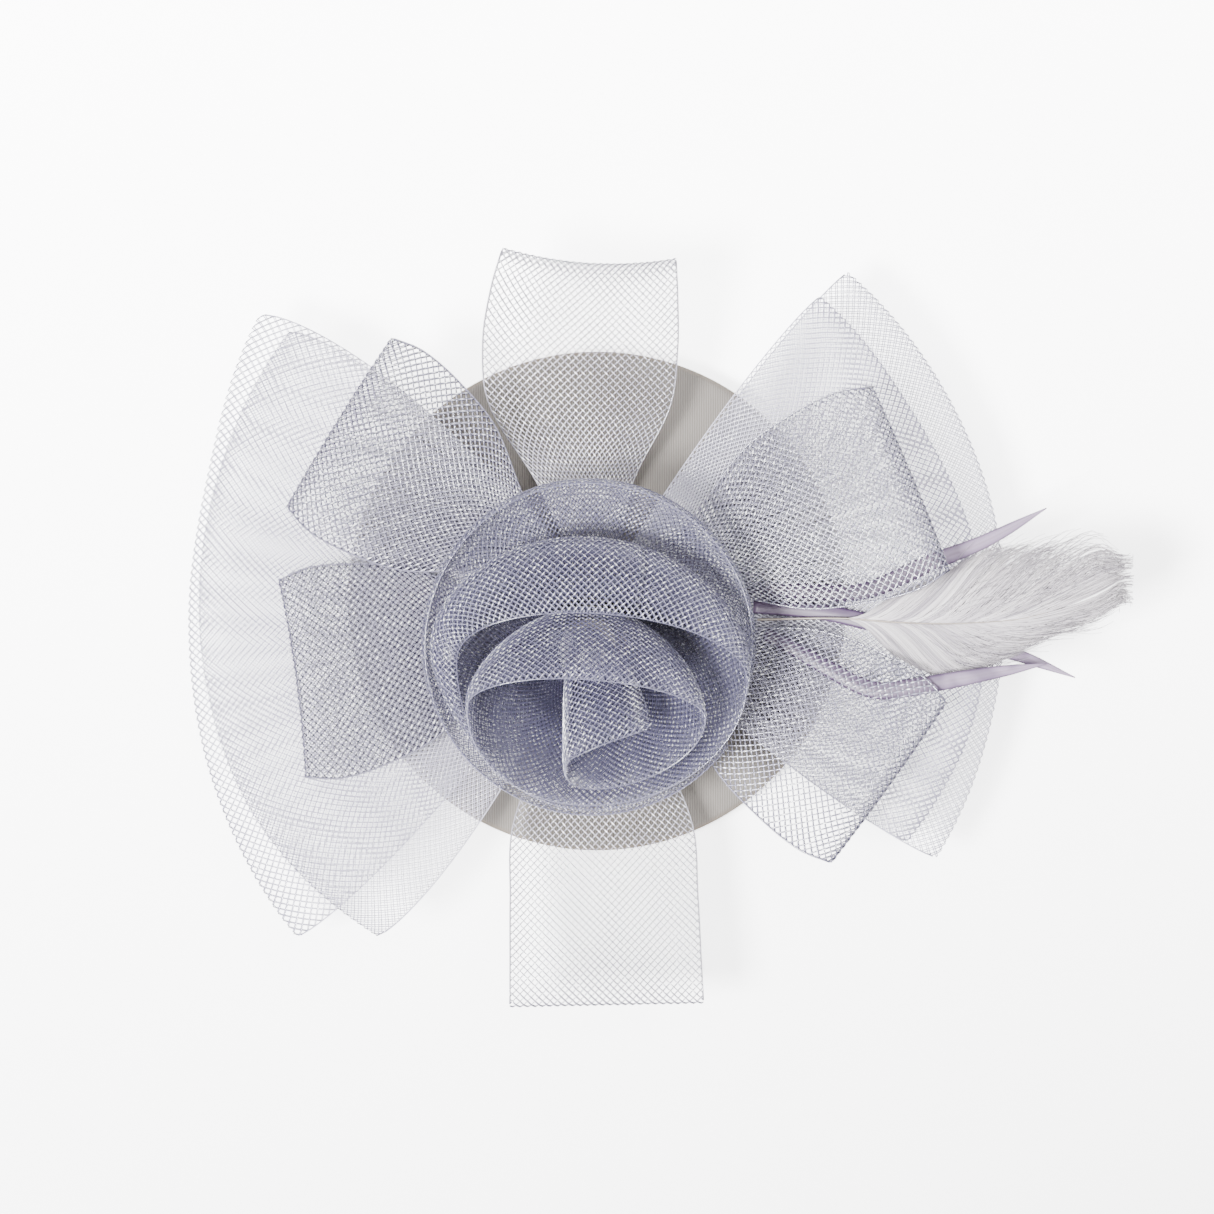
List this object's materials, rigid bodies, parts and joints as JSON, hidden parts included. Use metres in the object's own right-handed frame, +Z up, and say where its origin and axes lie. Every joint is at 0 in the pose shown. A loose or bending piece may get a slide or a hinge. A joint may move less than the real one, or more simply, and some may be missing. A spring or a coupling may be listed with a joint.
{
  "type": "fascinator",
  "caption": "Hair fascinator: a shallow round base on a clip, with folded net wings and loops, a wound net rose and feathers.",
  "frame": {"origin": "middle of the bounding box at the surface that the base's rim rests on", "axes": "+Z up out of the rose, +Y toward the loop above the rose, +X toward the feathers"},
  "size_m": [0.239, 0.1932, 0.0601],
  "materials": {
    "base_cloth": "matt, finely ribbed",
    "clip_metal": "plain",
    "crin": "open net with glinting threads",
    "rose_crin": "open net with glinting threads",
    "hackle": "soft",
    "biot": "satin"
  },
  "bodies": {
    "root": {"base_disc": "base_cloth", "clip": "clip_metal", "wing_left_outer": "crin", "wing_left_inner": "crin", "wing_right_outer": "crin", "wing_right_inner": "crin", "loop_top": "crin", "loop_upper_left": "crin", "loop_left": "crin", "loop_bottom": "crin", "loop_lower_right": "crin", "loop_right": "crin", "biot_lower": "biot", "biot_upper": "biot", "biot_under": "biot", "hackle": "hackle", "rose": "rose_crin"}
  },
  "joints": []
}
